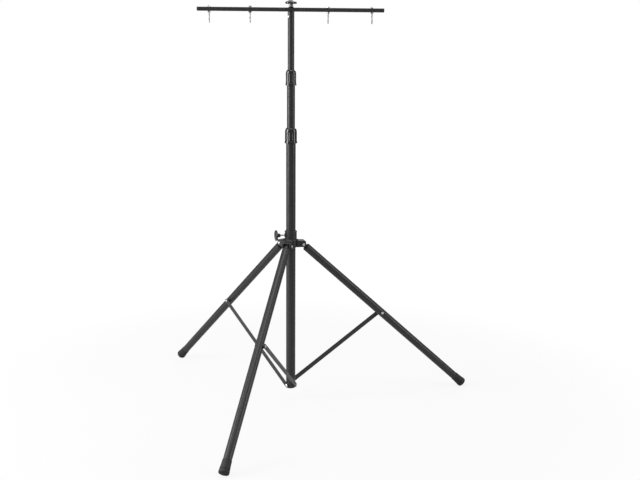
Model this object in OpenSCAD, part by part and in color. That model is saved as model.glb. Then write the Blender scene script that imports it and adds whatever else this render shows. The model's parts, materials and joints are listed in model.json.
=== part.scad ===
// Telescopic tripod stand with a crossbar: a three-stage tube column, two twist locks,
// a sliding leg hub with three tube legs and three flat braces, and a clamped T-bar
// that carries four hanging lamp bolts.
// Millimetres, +Z up along the column. The origin is the centre of the column's bottom face.

/* [Column] */
// Outside diameter of the outer (lowest) column tube
outer_d = 38; // [37:0.5:39]
// Outside diameter of the middle column tube
middle_d = 31.5; // [31:0.5:32]
// Outside diameter of the top column tube
top_d = 25.5; // [25:0.5:26]
// Wall thickness of the column tubes
tube_wall = 1.5; // [1.3:0.1:1.6]
// Height of the lower twist lock's bottom rim
lower_lock_z = 1013; // [1010:1:1018]
// Height of the upper twist lock's bottom rim
upper_lock_z = 1238; // [1200:1:1300]
// Height of the top tube's upper end
top_end_z = 1507; // [1450:1:1600]
// Length of a twist lock grip
grip_h = 60; // [56:1:64]

/* [Hub and legs] */
// Angle of the legs from the vertical, opened
leg_angle = 47.8; // [46:0.2:50]
// Turn of the first leg pair about the column
leg_turn = 14.4; // [0:0.2:30]
// Distance of the leg pivots from the column's axis
pivot_r = 49; // [48:0.5:54]
// Height of the leg pivots, opened
pivot_z = 606; // [600:1:610]
// Outside diameter of a leg tube
leg_d = 31.4; // [30:0.2:32]
// Wall thickness of a leg tube
leg_wall = 1.2; // [1:0.1:1.5]
// Distance from the leg pivot to the leg tube's lower end
leg_len = 957; // [940:1:970]

/* [Braces] */
// Distance from the leg pivot to the brace bolt, along the leg
brace_s = 459; // [445:1:470]
// Height of the brace pivots on the base plug
brace_z = 12; // [11:0.5:12]
// Width of a brace strap
brace_w = 18; // [16:0.5:18]
// Thickness of a brace strap
brace_t = 3; // [2:0.5:3.5]

/* [Crossbar] */
// Overall length of the crossbar with its end caps
bar_len = 720; // [700:5:760]
// Side of the square crossbar tube
bar_w = 15; // [15:0.5:16]
// Wall thickness of the crossbar tube
bar_wall = 1.5; // [1.2:0.1:2]
// Turn of the crossbar about the column
bar_turn = 4; // [-10:1:10]
// Half the spacing of the inner lamp bolts
bolt_in = 150; // [140:1:160]
// Offset of the inner pair of lamp bolts along the bar
bolt_in_shift = -7; // [-12:1:12]
// Distance of the outer lamp bolts from the middle of the bar
bolt_out = 313; // [300:1:320]
// Thread diameter of the lamp bolts
bolt_d = 6; // [5:0.5:6]
// Length of a lamp bolt under its head
bolt_len = 60; // [55:1:65]

/* [Hidden] */
$fn = 96;
eps = 0.02;                                  // gap of a fitted joint
run = 0.05;                                  // running clearance of a sliding fit

outer_r = outer_d / 2;
middle_r = middle_d / 2;
top_r = top_d / 2;
outer_bore = outer_r - tube_wall;
middle_bore = middle_r - tube_wall;
top_bore = top_r - tube_wall;
leg_r = leg_d / 2;
leg_bore = leg_r - leg_wall;
leg_start = 21;                              // leg tube's upper end, from its pivot

base_h = 22;                                 // base plug's visible flange
lock_in = grip_h - 25;                       // tube end above the grip's rim
grip_over = 5.4;                             // grip radius over the tube it sits on
ferrule_t = 2.6;

strap_y0 = outer_r + 1.5;                    // brace strap's inner face, from the leg's plane
strap_y1 = strap_y0 + brace_t;
brace_bolt_r = 3;
pin_r = 4;

// brace length between its pivots, from the opened position
brace_px = pivot_r + brace_s * sin(leg_angle);
brace_pz = pivot_z - brace_s * cos(leg_angle);
brace_l = sqrt(brace_px * brace_px + (brace_pz - brace_z) * (brace_pz - brace_z));
brace_angle = atan2(brace_pz - brace_z, brace_px);

// rubber foot: the rounded edge's centre, and the ground it stands on
foot_edge = 5;
foot_r = leg_r + 3.7;
foot_s = leg_len + 4.5;
foot_flat = 1.1;
ground_z = pivot_z - foot_s * cos(leg_angle) - (foot_r - foot_edge) * sin(leg_angle) - foot_edge + foot_flat;

plug_h = 11;                                 // top plug's visible head
bar_z = top_end_z + plug_h;
bar_top = bar_z + bar_w;
cap_t = 3.5;
knob_turn = 195;                             // azimuth of the hub's clamp knob
knob_z = pivot_z + 38;
sleeve_top = pivot_z + 56;                   // hub sleeve's upper rim
bolt_xs = [-bolt_out, bolt_in_shift - bolt_in, bolt_in_shift + bolt_in, bolt_out];
screw_az = 225;                              // azimuth of the top plug's screw

function leg_az(i) = leg_turn + (i - 2) * 120;
function arc(cx, cy, r, a0, a1, n) = [for (k = [0:n]) let (a = a0 + (a1 - a0) * k / n) [cx + r * cos(a), cy + r * sin(a)]];

module at_leg(i) rotate([0, 0, leg_az(i)]) children();
// local +X runs down the leg from its pivot, +Y is the leg's brace side
module on_leg(i) at_leg(i) translate([pivot_r, 0, pivot_z]) rotate([0, 90 - leg_angle, 0]) children();
// local +X runs up the brace from its base pivot
module on_brace(i) at_leg(i) translate([0, 0, brace_z]) rotate([0, -brace_angle, 0]) children();
module on_bar() rotate([0, 0, bar_turn]) children();
module along_x() rotate([0, 90, 0]) children();
module along_y() rotate([-90, 0, 0]) children();

module ring(r_out, r_in, z0, z1) {
    difference() {
        translate([0, 0, z0]) cylinder(r = r_out, h = z1 - z0);
        translate([0, 0, z0 - 1]) cylinder(r = r_in, h = z1 - z0 + 2);
    }
}

// domed head, flat on its underside at z = 0
module button(r, h) {
    rotate_extrude() polygon(concat([[0, 0], [r, 0], [r, h * 0.3]],
        [for (k = [1:6]) let (a = 15 * k) [r * cos(a), h * 0.3 + h * 0.7 * sin(a)]]));
}

module hex(af, h) {
    cylinder(r = af / 2 / cos(30), h = h, $fn = 6);
}

// twist grip: a domed, fluted sleeve; r_tube is the tube it sits on, r_inner the tube it clamps
module grip(r_tube, r_inner, z0) {
    r = r_tube + grip_over;
    h = grip_h;
    cav = r_tube + ferrule_t + 0.1;
    nf = 8;
    translate([0, 0, z0]) difference() {
        rotate_extrude() polygon(concat(
            [[r_tube + 0.25, 0], [r - 0.8, 0]],
            arc(r - 0.4, 0.8, 0.8, -90, 0, 3),
            [[r + 0.4, 5.6]],
            arc(r - 0.4, 5.6, 0.8, 0, 60, 2),
            [[r - 0.9, 8.4], [r - 0.9, h - 17]],
            [for (k = [1:8]) let (a = 90 * k / 8) [r_inner + 1.6 + (r - 2.5 - r_inner) * cos(a), h - 17 + 16 * sin(a)]],
            [[r_inner + 0.9, h], [r_inner + 0.5, h - 0.4], [r_inner + 0.5, h - 6],
             [cav, lock_in + 14], [cav, 4], [r_tube + 0.25, 4]]));
        for (k = [0:nf - 1]) rotate([0, 0, 360 / nf * (k + 0.5)]) translate([r + 2.9, 0, 0]) {
            translate([0, 0, 15]) cylinder(r = 5, h = h - 34, $fn = 40);
            translate([0, 0, 15]) sphere(r = 5, $fn = 40);
            translate([0, 0, h - 19]) sphere(r = 5, $fn = 40);
        }
    }
}

// threaded ferrule fixed on a tube's upper end
module ferrule(r_tube, z0) {
    difference() {
        union() {
            ring(r_tube + ferrule_t - 0.4, r_tube + eps, z0 + 6, z0 + lock_in);
            for (k = [0:5]) ring(r_tube + ferrule_t, r_tube + eps, z0 + 9 + k * 4, z0 + 10.6 + k * 4);
        }
    }
}

// split collet that grips the sliding tube
module collet(r_bore, r_tube, r_inner, z0) {
    difference() {
        union() {
            ring(r_bore - eps, r_inner + run, z0 + lock_in - 26, z0 + lock_in + 2);
            translate([0, 0, z0 + lock_in + 0.05]) difference() {
                cylinder(r1 = r_tube - 0.1, r2 = r_inner + 1.4, h = 11);
                translate([0, 0, -1]) cylinder(r = r_inner + run, h = 13);
            }
        }
        translate([0, -1, z0 + lock_in - 20]) cube([r_tube + 5, 2, 40]);
    }
}

// guide bush on a sliding tube's lower end
module bush(r_bore, r_inner, z0) {
    rotate_extrude() polygon([
        [r_inner + eps, z0 + 36], [r_inner + eps, z0], [r_inner - tube_wall, z0], [r_inner - tube_wall, z0 - 3],
        [r_bore - run - 1, z0 - 3], [r_bore - run, z0 - 2], [r_bore - run, z0 + 35], [r_bore - run - 1, z0 + 36]]);
}

// lobed hand wheel, flat underside at z = 0, boss pointing down
module lobed_wheel(r, rim, h, lobes) {
    difference() {
        rotate_extrude() polygon(concat([[0, 0], [r - 1.5, 0]], arc(r - 1.5, 1.5, 1.5, -90, 0, 3),
            [[r, rim - 2]], [for (k = [1:6]) let (a = 15 * k) [r * 0.52 + r * 0.48 * cos(a), rim - 2 + (h - rim + 2) * sin(a)]],
            [[0, h]]));
        for (k = [0:lobes - 1]) rotate([0, 0, 360 / lobes * k]) translate([r + 3.6, 0, -1]) cylinder(r = 5.6, h = h + 2, $fn = 40);
    }
}

module outer_tube() {
    color([0.16, 0.16, 0.17]) ring(outer_r, outer_bore, base_h, lower_lock_z + lock_in);
}

module base_plug() {
    color([0.1, 0.1, 0.1]) difference() {
        union() {
            rotate_extrude() polygon(concat([[0, 0], [outer_r - 1.2, 0]],
                arc(outer_r - 1.2, 2.4, 2.4, -90, 0, 4), [[outer_r + 1.2, base_h - 0.8], [outer_r + 0.4, base_h], [outer_bore - eps, base_h],
                [outer_bore - eps, base_h + 38], [outer_bore - 1.2, base_h + 40], [0, base_h + 40]]));
            for (i = [1:3]) at_leg(i) translate([0, 0, brace_z]) along_y() cylinder(r = 9.5, h = strap_y0 - 0.2);
        }
        for (i = [1:3]) at_leg(i) translate([0, 8, brace_z]) along_y() cylinder(r = brace_bolt_r + eps, h = 20);
        translate([0, 0, base_h + 4]) cylinder(r = outer_bore - 4, h = 40);
    }
}

module brace_base_bolts() {
    color([0.8, 0.8, 0.8]) for (i = [1:3]) at_leg(i) translate([0, 0, brace_z]) {
        translate([0, 8.2, 0]) along_y() cylinder(r = brace_bolt_r, h = strap_y1 + 0.2 - 8.2);
        translate([0, strap_y1 + 0.15, 0]) along_y() button(5.6, 3.4);
    }
}

module lower_lock_ferrule() {
    color([0.1, 0.1, 0.1]) ferrule(outer_r, lower_lock_z);
}

module lower_lock_collet() {
    color([0.85, 0.85, 0.82]) collet(outer_bore, outer_r, middle_r, lower_lock_z);
}

module lower_lock_grip() {
    color([0.08, 0.08, 0.09]) grip(outer_r, middle_r, lower_lock_z);
}

module middle_tube() {
    color([0.17, 0.17, 0.18]) ring(middle_r, middle_bore, 253, upper_lock_z + lock_in);
}

module middle_tube_bush() {
    color([0.85, 0.85, 0.82]) bush(outer_bore, middle_r, 253);
}

module upper_lock_ferrule() {
    color([0.1, 0.1, 0.1]) ferrule(middle_r, upper_lock_z);
}

module upper_lock_collet() {
    color([0.85, 0.85, 0.82]) collet(middle_bore, middle_r, top_r, upper_lock_z);
}

module upper_lock_grip() {
    color([0.08, 0.08, 0.09]) grip(middle_r, top_r, upper_lock_z);
}

module top_tube() {
    color([0.18, 0.18, 0.19]) difference() {
        ring(top_r, top_bore, 505, top_end_z);
        translate([0, 0, top_end_z - 8.5]) rotate([0, 0, screw_az]) translate([top_bore - 3, 0, 0]) along_x() cylinder(r = 2.2, h = 8);
    }
}

module top_tube_bush() {
    color([0.85, 0.85, 0.82]) bush(middle_bore, top_r, 505);
}

module top_plug() {
    color([0.07, 0.07, 0.07]) difference() {
        rotate_extrude() polygon([[0, top_end_z - 40], [top_bore - 1.2, top_end_z - 40], [top_bore - eps, top_end_z - 38],
            [top_bore - eps, top_end_z], [top_r, top_end_z + 0.01], [top_r + 0.3, top_end_z + 1.2], [top_r + 0.3, bar_z - 1.6],
            [top_r - 1.2, bar_z - 0.05], [0, bar_z - 0.05]]);
        translate([0, 0, bar_z - 36]) cylinder(r = pin_r + run, h = 40);
        translate([0, 0, top_end_z - 8.5]) rotate([0, 0, screw_az]) translate([5.5, 0, 0]) along_x() cylinder(r = 1.95 + eps, h = 12);
    }
}

module top_plug_screw() {
    color([0.85, 0.85, 0.85]) translate([0, 0, top_end_z - 8.5]) rotate([0, 0, screw_az]) {
        translate([5.7, 0, 0]) along_x() cylinder(r = 1.95, h = top_r + 0.3 - 5.7);
        translate([top_r + 0.1, 0, 0]) along_x() button(4.4, 2.6);
    }
}

module crossbar_tube() {
    color([0.15, 0.15, 0.16]) on_bar() difference() {
        translate([-(bar_len / 2 - cap_t), -bar_w / 2, bar_z]) cube([bar_len - 2 * cap_t, bar_w, bar_w]);
        translate([-bar_len, -bar_w / 2 + bar_wall, bar_z + bar_wall]) cube([2 * bar_len, bar_w - 2 * bar_wall, bar_w - 2 * bar_wall]);
        translate([0, 0, bar_z - 1]) cylinder(r = pin_r + run, h = bar_w + 2);
        for (x = bolt_xs) translate([x, 0, bar_z - 1]) cylinder(r = bolt_d / 2 + 0.3, h = bar_w + 2);
    }
}

module crossbar_end_caps() {
    b = bar_w - 2 * bar_wall - 2 * eps;
    color([0.08, 0.08, 0.08]) on_bar() for (s = [-1, 1]) translate([s * (bar_len / 2 - cap_t), 0, bar_z + bar_w / 2]) {
        // head with a step-chamfered outer face
        translate([s * (cap_t - 1) / 2, 0, 0]) cube([cap_t - 1, bar_w, bar_w], center = true);
        translate([s * (cap_t - 0.75), 0, 0]) cube([1.5, bar_w - 2, bar_w - 2], center = true);
        translate([-s * 9, 0, 0]) cube([18.1, b, b - 2], center = true);
        for (k = [1:3]) translate([-s * (k * 5 - 1), 0, 0]) cube([1.6, b, b], center = true);
    }
}

module lamp_bolts() {
    color([0.8, 0.8, 0.82]) on_bar() for (x = bolt_xs) translate([x, 0, bar_top + 1.25]) {
        hex(10, 4);
        // plain shank through the bar and nut, full thread diameter below the nut
        translate([0, 0, -bar_w - 7.4]) cylinder(r = bolt_d / 2 - 0.3, h = bar_w + 7.5);
        translate([0, 0, -bolt_len + 0.8]) cylinder(r = bolt_d / 2, h = bolt_len - 0.8 - bar_w - 7.35);
        translate([0, 0, -bolt_len]) cylinder(r1 = bolt_d / 2 - 0.8, r2 = bolt_d / 2, h = 0.8);
    }
}

module lamp_bolt_washers() {
    color([0.75, 0.75, 0.77]) on_bar() for (x = bolt_xs)
        translate([x, 0, 0]) ring(6, bolt_d / 2 + 0.15, bar_top + 0.02, bar_top + 1.2);
}

module lamp_bolt_nuts() {
    color([0.6, 0.6, 0.6]) on_bar() for (x = bolt_xs) translate([x, 0, bar_z - 6.05]) difference() {
        union() {
            translate([0, 0, 1.6]) hex(10, 4.4);
            cylinder(r1 = 4.1, r2 = 4.7, h = 1.7);
        }
        translate([0, 0, -1]) cylinder(r = bolt_d / 2 - 0.3 + eps, h = 8);
    }
}

module top_knob_washer() {
    color([0.2, 0.2, 0.2]) difference() {
        translate([0, 0, bar_top + 0.05]) cylinder(r1 = 11, r2 = 9.6, h = 2);
        translate([0, 0, bar_top - 1]) cylinder(r = pin_r + run, h = 6);
    }
}

module top_knob_stud() {
    color([0.7, 0.7, 0.72]) {
        translate([0, 0, bar_z - 28]) cylinder(r = pin_r, h = bar_w + 28 + 20);
        translate([0, 0, bar_top + 2.1]) cylinder(r = 8.5, h = 11.9);
    }
}

module top_knob() {
    color([0.07, 0.07, 0.07]) translate([0, 0, bar_top + 14.02]) difference() {
        lobed_wheel(22, 6, 13, 8);
        translate([0, 0, -1]) cylinder(r = pin_r + eps, h = 8);
        translate([0, 0, 10]) cylinder(r = 7 + eps, h = 8);
    }
}

module top_knob_cap() {
    color([0.55, 0.55, 0.56]) translate([0, 0, bar_top + 14.02 + 10 + eps]) {
        cylinder(r = 7, h = 2.6);
        translate([0, 0, 2.6]) button(7, 2.2);
    }
}

// one clevis block of the hub, in the leg's plane, pivot at local x = pivot_r
module clevis_block() {
    x1 = pivot_r;
    along_y() translate([0, 0, -19.5]) linear_extrude(39) union() {
        translate([x1, -pivot_z]) circle(r = 10);
        polygon(concat([[outer_r + 2, -pivot_z + 10], [x1, -pivot_z + 10], [x1 + 10, -pivot_z]],
            [for (p = arc(x1 + 5, -pivot_z - 9.5, 5, 0, -90, 6)) p],
            [[x1 - 8, -pivot_z - 15.5], [outer_r + 2, -pivot_z - 17.5]]));
    }
}

module hub_casting() {
    sleeve_r = outer_r + 5;
    color([0.13, 0.13, 0.14]) difference() {
        union() {
            rotate_extrude() polygon([[outer_r, pivot_z - 11], [sleeve_r + 0.6, pivot_z - 11], [sleeve_r + 1.4, pivot_z - 9.8],
                [sleeve_r + 1.4, pivot_z + 18], [sleeve_r, pivot_z + 20], [sleeve_r, sleeve_top - 1.6],
                [sleeve_r - 1.6, sleeve_top], [outer_r, sleeve_top]]);
            for (i = [1:3]) at_leg(i) clevis_block();
            translate([0, 0, knob_z]) rotate([0, 0, knob_turn]) translate([outer_r + 2, 0, 0]) along_x() cylinder(r = 7.5, h = 5.2);
        }
        translate([0, 0, pivot_z - 100]) cylinder(r = outer_r + 0.08, h = 200);
        for (i = [1:3]) at_leg(i) {
            // slot for the leg plug's tongue, open below and outwards
            translate([pivot_r - 12, -12, pivot_z - 60]) cube([60, 24, 71.5]);
            translate([pivot_r, -40, pivot_z]) along_y() cylinder(r = pin_r + eps, h = 80);
        }
        translate([0, 0, knob_z]) rotate([0, 0, knob_turn]) along_x() {
            cylinder(r = 3.05, h = 60);
            cylinder(r = 5.1, h = outer_r + 2.9);
        }
    }
}

module leg_pivot_pins() {
    color([0.8, 0.8, 0.8]) for (i = [1:3]) at_leg(i) translate([pivot_r, 0, pivot_z]) {
        translate([0, -19.6, 0]) along_y() cylinder(r = pin_r, h = 39.2);
        translate([0, 19.55, 0]) along_y() button(5.4, 3);
        mirror([0, 1, 0]) translate([0, 19.55, 0]) along_y() button(5.4, 3);
    }
}

module hub_clamp_pad() {
    color([0.8, 0.8, 0.78]) difference() {
        translate([0, 0, knob_z]) rotate([0, 0, knob_turn]) translate([outer_r - 2, 0, 0]) along_x() cylinder(r = 5, h = 3.6);
        translate([0, 0, knob_z - 20]) cylinder(r = outer_r + 0.1, h = 40);
    }
}

module hub_knob() {
    color([0.08, 0.08, 0.08]) translate([0, 0, knob_z]) rotate([0, 0, knob_turn]) difference() {
        union() {
            translate([56.5, 0, 0]) along_x() lobed_wheel(21.8, 7, 10, 7);
            translate([43.5, 0, 0]) along_x() cylinder(r1 = 7.6, r2 = 8.6, h = 13.2);
        }
        translate([40, 0, 0]) along_x() cylinder(r = 3 + eps, h = 14);
    }
}

module hub_knob_screw() {
    color([0.8, 0.8, 0.82]) translate([0, 0, knob_z]) rotate([0, 0, knob_turn])
        translate([outer_r + 1.65, 0, 0]) along_x() cylinder(r = 3, h = 53.9 - outer_r - 1.65);
}

module leg_tube(i) {
    color([0.16, 0.16, 0.17]) on_leg(i) difference() {
        translate([leg_start, 0, 0]) along_x() cylinder(r = leg_r, h = leg_len - leg_start);
        translate([leg_start - 1, 0, 0]) along_x() cylinder(r = leg_bore, h = leg_len);
        translate([brace_s, -30, 0]) along_y() cylinder(r = brace_bolt_r + 0.1, h = 60);
    }
}

module leg_plug(i) {
    color([0.1, 0.1, 0.1]) on_leg(i) difference() {
        union() {
            along_y() translate([0, 0, -11.8]) linear_extrude(23.6) union() {
                circle(r = 10.5);
                translate([0, -10.5]) square([leg_start - 1.5, 21]);
            }
            translate([leg_start - 2.4, 0, 0]) along_x() cylinder(r = leg_r, h = 2.38);
            translate([leg_start - 0.5, 0, 0]) along_x() cylinder(r = leg_bore - eps, h = 40);
        }
        translate([0, -20, 0]) along_y() cylinder(r = pin_r + run, h = 40);
        translate([leg_start + 9, 0, 0]) along_x() cylinder(r = leg_bore - 4, h = 40);
    }
}

module leg_foot(i) {
    color([0.06, 0.06, 0.06]) difference() {
        on_leg(i) along_x() rotate_extrude() polygon(concat(
            [[leg_r + eps, leg_len - 40], [leg_r + 0.9, leg_len - 40], [leg_r + 1.3, leg_len - 39.4],
             [leg_r + 1.4, leg_len - 26], [leg_r + 2.1, leg_len - 14], [leg_r + 3.2, leg_len - 4]],
            [for (p = arc(foot_r - foot_edge, foot_s, foot_edge, 0, 80, 8)) p],
            [[foot_r - foot_edge - 3, foot_s + foot_edge + 0.6], [0, foot_s + foot_edge + 1.4], [0, leg_len + eps], [leg_r + eps, leg_len + eps]]));
        translate([-2000, -2000, ground_z - 100]) cube([4000, 4000, 100]);
    }
}

module brace_spacer(i) {
    color([0.1, 0.1, 0.1]) on_leg(i) difference() {
        translate([brace_s, 11, 0]) along_y() cylinder(r = 9.5, h = strap_y0 - 0.25 - 11);
        along_x() translate([0, 0, brace_s - 20]) cylinder(r = leg_r + eps, h = 40);
        translate([brace_s, -30, 0]) along_y() cylinder(r = brace_bolt_r + eps, h = 60);
    }
}

module brace_bolt(i) {
    color([0.8, 0.8, 0.8]) on_leg(i) translate([brace_s, 0, 0]) {
        translate([0, -leg_r - 0.2, 0]) along_y() cylinder(r = brace_bolt_r, h = leg_r + 0.2 + strap_y0 - 0.3);
        mirror([0, 1, 0]) translate([0, leg_r + 0.05, 0]) along_y() button(5.2, 3.2);
    }
}

module brace_strap(i) {
    color([0.2, 0.2, 0.21]) on_brace(i) translate([0, strap_y0, 0]) along_y() linear_extrude(brace_t) difference() {
        union() {
            circle(r = brace_w / 2);
            translate([brace_l, 0]) circle(r = brace_w / 2);
            translate([0, -brace_w / 2]) square([brace_l, brace_w]);
        }
        circle(r = brace_bolt_r + run);
        translate([brace_l, 0]) circle(r = brace_bolt_r + eps);
    }
}

module brace_rivet(i) {
    color([0.8, 0.8, 0.8]) on_brace(i) translate([brace_l, 0, 0]) {
        translate([0, strap_y0 + 0.05, 0]) along_y() cylinder(r = brace_bolt_r, h = brace_t);
        translate([0, strap_y1 + 0.02, 0]) along_y() button(5.2, 3.2);
    }
}

outer_tube();
base_plug();
brace_base_bolts();
lower_lock_ferrule();
lower_lock_collet();
lower_lock_grip();
middle_tube();
middle_tube_bush();
upper_lock_ferrule();
upper_lock_collet();
upper_lock_grip();
top_tube();
top_tube_bush();
top_plug();
top_plug_screw();
crossbar_tube();
crossbar_end_caps();
lamp_bolts();
lamp_bolt_washers();
lamp_bolt_nuts();
top_knob_washer();
top_knob_stud();
top_knob();
top_knob_cap();
hub_casting();
leg_pivot_pins();
hub_clamp_pad();
hub_knob();
hub_knob_screw();
leg_tube(1);  // leg_tube_1
leg_plug(1);  // leg_plug_1
leg_foot(1);  // leg_foot_1
brace_spacer(1);  // brace_spacer_1
brace_bolt(1);  // brace_bolt_1
brace_strap(1);  // brace_strap_1
brace_rivet(1);  // brace_rivet_1
leg_tube(2);  // leg_tube_2
leg_plug(2);  // leg_plug_2
leg_foot(2);  // leg_foot_2
brace_spacer(2);  // brace_spacer_2
brace_bolt(2);  // brace_bolt_2
brace_strap(2);  // brace_strap_2
brace_rivet(2);  // brace_rivet_2
leg_tube(3);  // leg_tube_3
leg_plug(3);  // leg_plug_3
leg_foot(3);  // leg_foot_3
brace_spacer(3);  // brace_spacer_3
brace_bolt(3);  // brace_bolt_3
brace_strap(3);  // brace_strap_3
brace_rivet(3);  // brace_rivet_3
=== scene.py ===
import json
import math

import bmesh
import bpy
import numpy as np
from mathutils import Matrix, Vector


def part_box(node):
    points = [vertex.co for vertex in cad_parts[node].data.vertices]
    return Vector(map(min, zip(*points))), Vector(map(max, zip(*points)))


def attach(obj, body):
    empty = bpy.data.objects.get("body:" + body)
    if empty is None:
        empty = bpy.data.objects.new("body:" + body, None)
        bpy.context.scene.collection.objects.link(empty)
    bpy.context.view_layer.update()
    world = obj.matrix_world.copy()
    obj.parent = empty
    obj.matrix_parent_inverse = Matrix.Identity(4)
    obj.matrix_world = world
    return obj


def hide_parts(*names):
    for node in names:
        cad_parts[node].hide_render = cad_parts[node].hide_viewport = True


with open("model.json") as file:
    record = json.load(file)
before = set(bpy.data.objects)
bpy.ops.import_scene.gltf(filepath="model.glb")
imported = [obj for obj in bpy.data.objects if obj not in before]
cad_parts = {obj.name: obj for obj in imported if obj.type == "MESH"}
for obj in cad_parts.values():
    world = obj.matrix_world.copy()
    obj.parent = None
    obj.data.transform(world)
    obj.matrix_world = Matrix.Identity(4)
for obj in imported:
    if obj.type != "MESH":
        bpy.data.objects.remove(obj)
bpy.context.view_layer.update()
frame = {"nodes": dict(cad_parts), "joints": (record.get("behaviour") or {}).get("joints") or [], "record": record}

# ---------------------------------------------------------------------------
# Places and sizes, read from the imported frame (millimetres from here on).
# ---------------------------------------------------------------------------
JOINTS = {j["name"]: j for j in frame["joints"]}
X, Y, Z = np.eye(3)
O = np.zeros(3)


def points(node):
    data = frame["nodes"][node].data
    co = np.empty(len(data.vertices) * 3)
    data.vertices.foreach_get("co", co)
    return co.reshape(-1, 3) * 1000.0


def unit(v):
    v = np.array(v, float)
    return v / np.linalg.norm(v)


def along(node, origin=O, axis=Z):
    """A node's range along an axis, and its smallest and largest distance from that axis."""
    d = points(node) - origin
    s = d @ axis
    r = np.linalg.norm(d - np.outer(s, axis), axis=1)
    return s.min(), s.max(), r.min(), r.max()


def place(origin, x, y):
    """Matrix of a local frame with the given x and y directions."""
    x, y = unit(x), unit(y)
    m = np.eye(4)
    m[:3, 0], m[:3, 1], m[:3, 2], m[:3, 3] = x, y, np.cross(x, y), origin
    return m


def place_z(origin, z, x):
    """Matrix of a local frame with the given z direction, x towards x."""
    z = unit(z)
    x = unit(np.array(x, float) - np.dot(x, z) * z)
    return place(origin, x, np.cross(z, x))


LEGS = {}
for i in (1, 2, 3):
    pivot = np.array(JOINTS[f"leg_{i}_fold"]["pos_m"]) * 1000
    side = unit(JOINTS[f"leg_{i}_fold"]["axis"])
    out = unit([pivot[0], pivot[1], 0])
    p = points(f"leg_tube_{i}")
    d = np.linalg.norm(p - pivot, axis=1)
    down = unit(p[d > d.max() - 4].mean(0) - pivot)
    down = unit(down - np.dot(down, side) * side)
    foot_at = np.array(JOINTS[f"brace_{i}_fold"]["pos_m"]) * 1000
    base = foot_at - np.dot(foot_at, side) * side
    p = points(f"brace_rivet_{i}")
    top = (p.min(0) + p.max(0)) / 2
    run = top - base
    run = run - np.dot(run, side) * side
    LEGS[i] = dict(pivot=pivot, side=side, out=out, down=down, leg=place(pivot, down, side),
                   base=base, brace=place(base, run, side), brace_len=float(np.linalg.norm(run)))

# ---------------------------------------------------------------------------
# Mesh building. A shape is (vertices, faces) in millimetres.
# ---------------------------------------------------------------------------


def rounded(pts, seg=4, loop=True):
    """Polyline with a fillet at each point that has a third number, its radius."""
    res, n = [], len(pts)
    for i, p in enumerate(pts):
        c = np.array(p[:2], float)
        rad = p[2] if len(p) > 2 else 0
        if rad <= 0 or (not loop and i in (0, n - 1)):
            res.append((c[0], c[1]))
            continue
        a, b = np.array(pts[i - 1][:2], float), np.array(pts[(i + 1) % n][:2], float)
        la, lb = np.linalg.norm(a - c), np.linalg.norm(b - c)
        u, v = (a - c) / la, (b - c) / lb
        ang = math.acos(max(-1, min(1, float(u @ v))))
        if ang > math.pi - 0.02 or ang < 0.02:
            res.append((c[0], c[1]))
            continue
        t = min(rad / math.tan(ang / 2), la * 0.49, lb * 0.49)
        r = t * math.tan(ang / 2)
        m = c + unit(u + v) * r / math.sin(ang / 2)
        s, e = c + u * t - m, c + v * t - m
        a0, a1 = math.atan2(s[1], s[0]), math.atan2(e[1], e[0])
        da = (a1 - a0 + math.pi) % (2 * math.pi) - math.pi
        for k in range(seg + 1):
            q = a0 + da * k / seg
            res.append((m[0] + r * math.cos(q), m[1] + r * math.sin(q)))
    return res


def loft(rings, loop=False):
    """Joins rings of points; a ring of one point closes the shape as a pole."""
    rings = [np.atleast_2d(np.array(r, float)) for r in rings]
    start, verts = [], []
    for r in rings:
        start.append(len(verts))
        verts.extend(r.tolist())
    faces = []
    pairs = [(k, k + 1) for k in range(len(rings) - 1)] + ([(len(rings) - 1, 0)] if loop else [])
    for a, b in pairs:
        na, nb = len(rings[a]), len(rings[b])
        n = max(na, nb)
        for k in range(n):
            j = (k + 1) % n
            if na == 1:
                faces.append((start[a], start[b] + j, start[b] + k))
            elif nb == 1:
                faces.append((start[a] + k, start[a] + j, start[b]))
            else:
                faces.append((start[a] + k, start[a] + j, start[b] + j, start[b] + k))
    return verts, faces


def lathe(profile, n=96, loop=True, shape=None):
    """Turns (r, z) round the z axis. shape(angle, r, z, k) may change r for each angle."""
    th = np.arange(n) * 2 * math.pi / n
    rings = []
    for k, (r, z) in enumerate(profile):
        if r < 1e-6:
            rings.append([[0, 0, z]])
            continue
        rr = np.full(n, float(r))
        zz = np.full(n, float(z))
        if shape is not None:
            rr, zz = shape(th, rr, zz, k)
        rings.append(np.stack([rr * np.cos(th), rr * np.sin(th), zz], 1))
    return loft(rings, loop)


def moved(shape, m):
    v = np.array(shape[0], float)
    return (v @ m[:3, :3].T + m[:3, 3]).tolist(), shape[1]


def joined(*shapes):
    verts, faces = [], []
    for v, f in shapes:
        k = len(verts)
        verts += list(v)
        faces += [tuple(i + k for i in q) for q in f]
    return verts, faces


def plate(outline, z0, z1, edge=0.5, seg=3):
    """Flat piece with rounded edges; outline(inset) gives its points at an inset."""
    rings = []
    for k in range(seg + 1):
        a = math.pi / 2 * k / seg
        rings.append((edge * (1 - math.sin(a)), z0 + edge * (1 - math.cos(a))))
    rings += [(i, z0 + z1 - z) for i, z in reversed(rings)]
    loops = []
    for inset, z in rings:
        o = np.array(outline(inset))
        loops.append(np.column_stack([o, np.full(len(o), z)]))
    verts, faces = loft(loops)
    n = len(loops[0])
    faces = list(faces)
    faces.append(tuple(range(n)))
    faces.append(tuple(len(verts) - n + k for k in range(n)))
    return verts, faces


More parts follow.
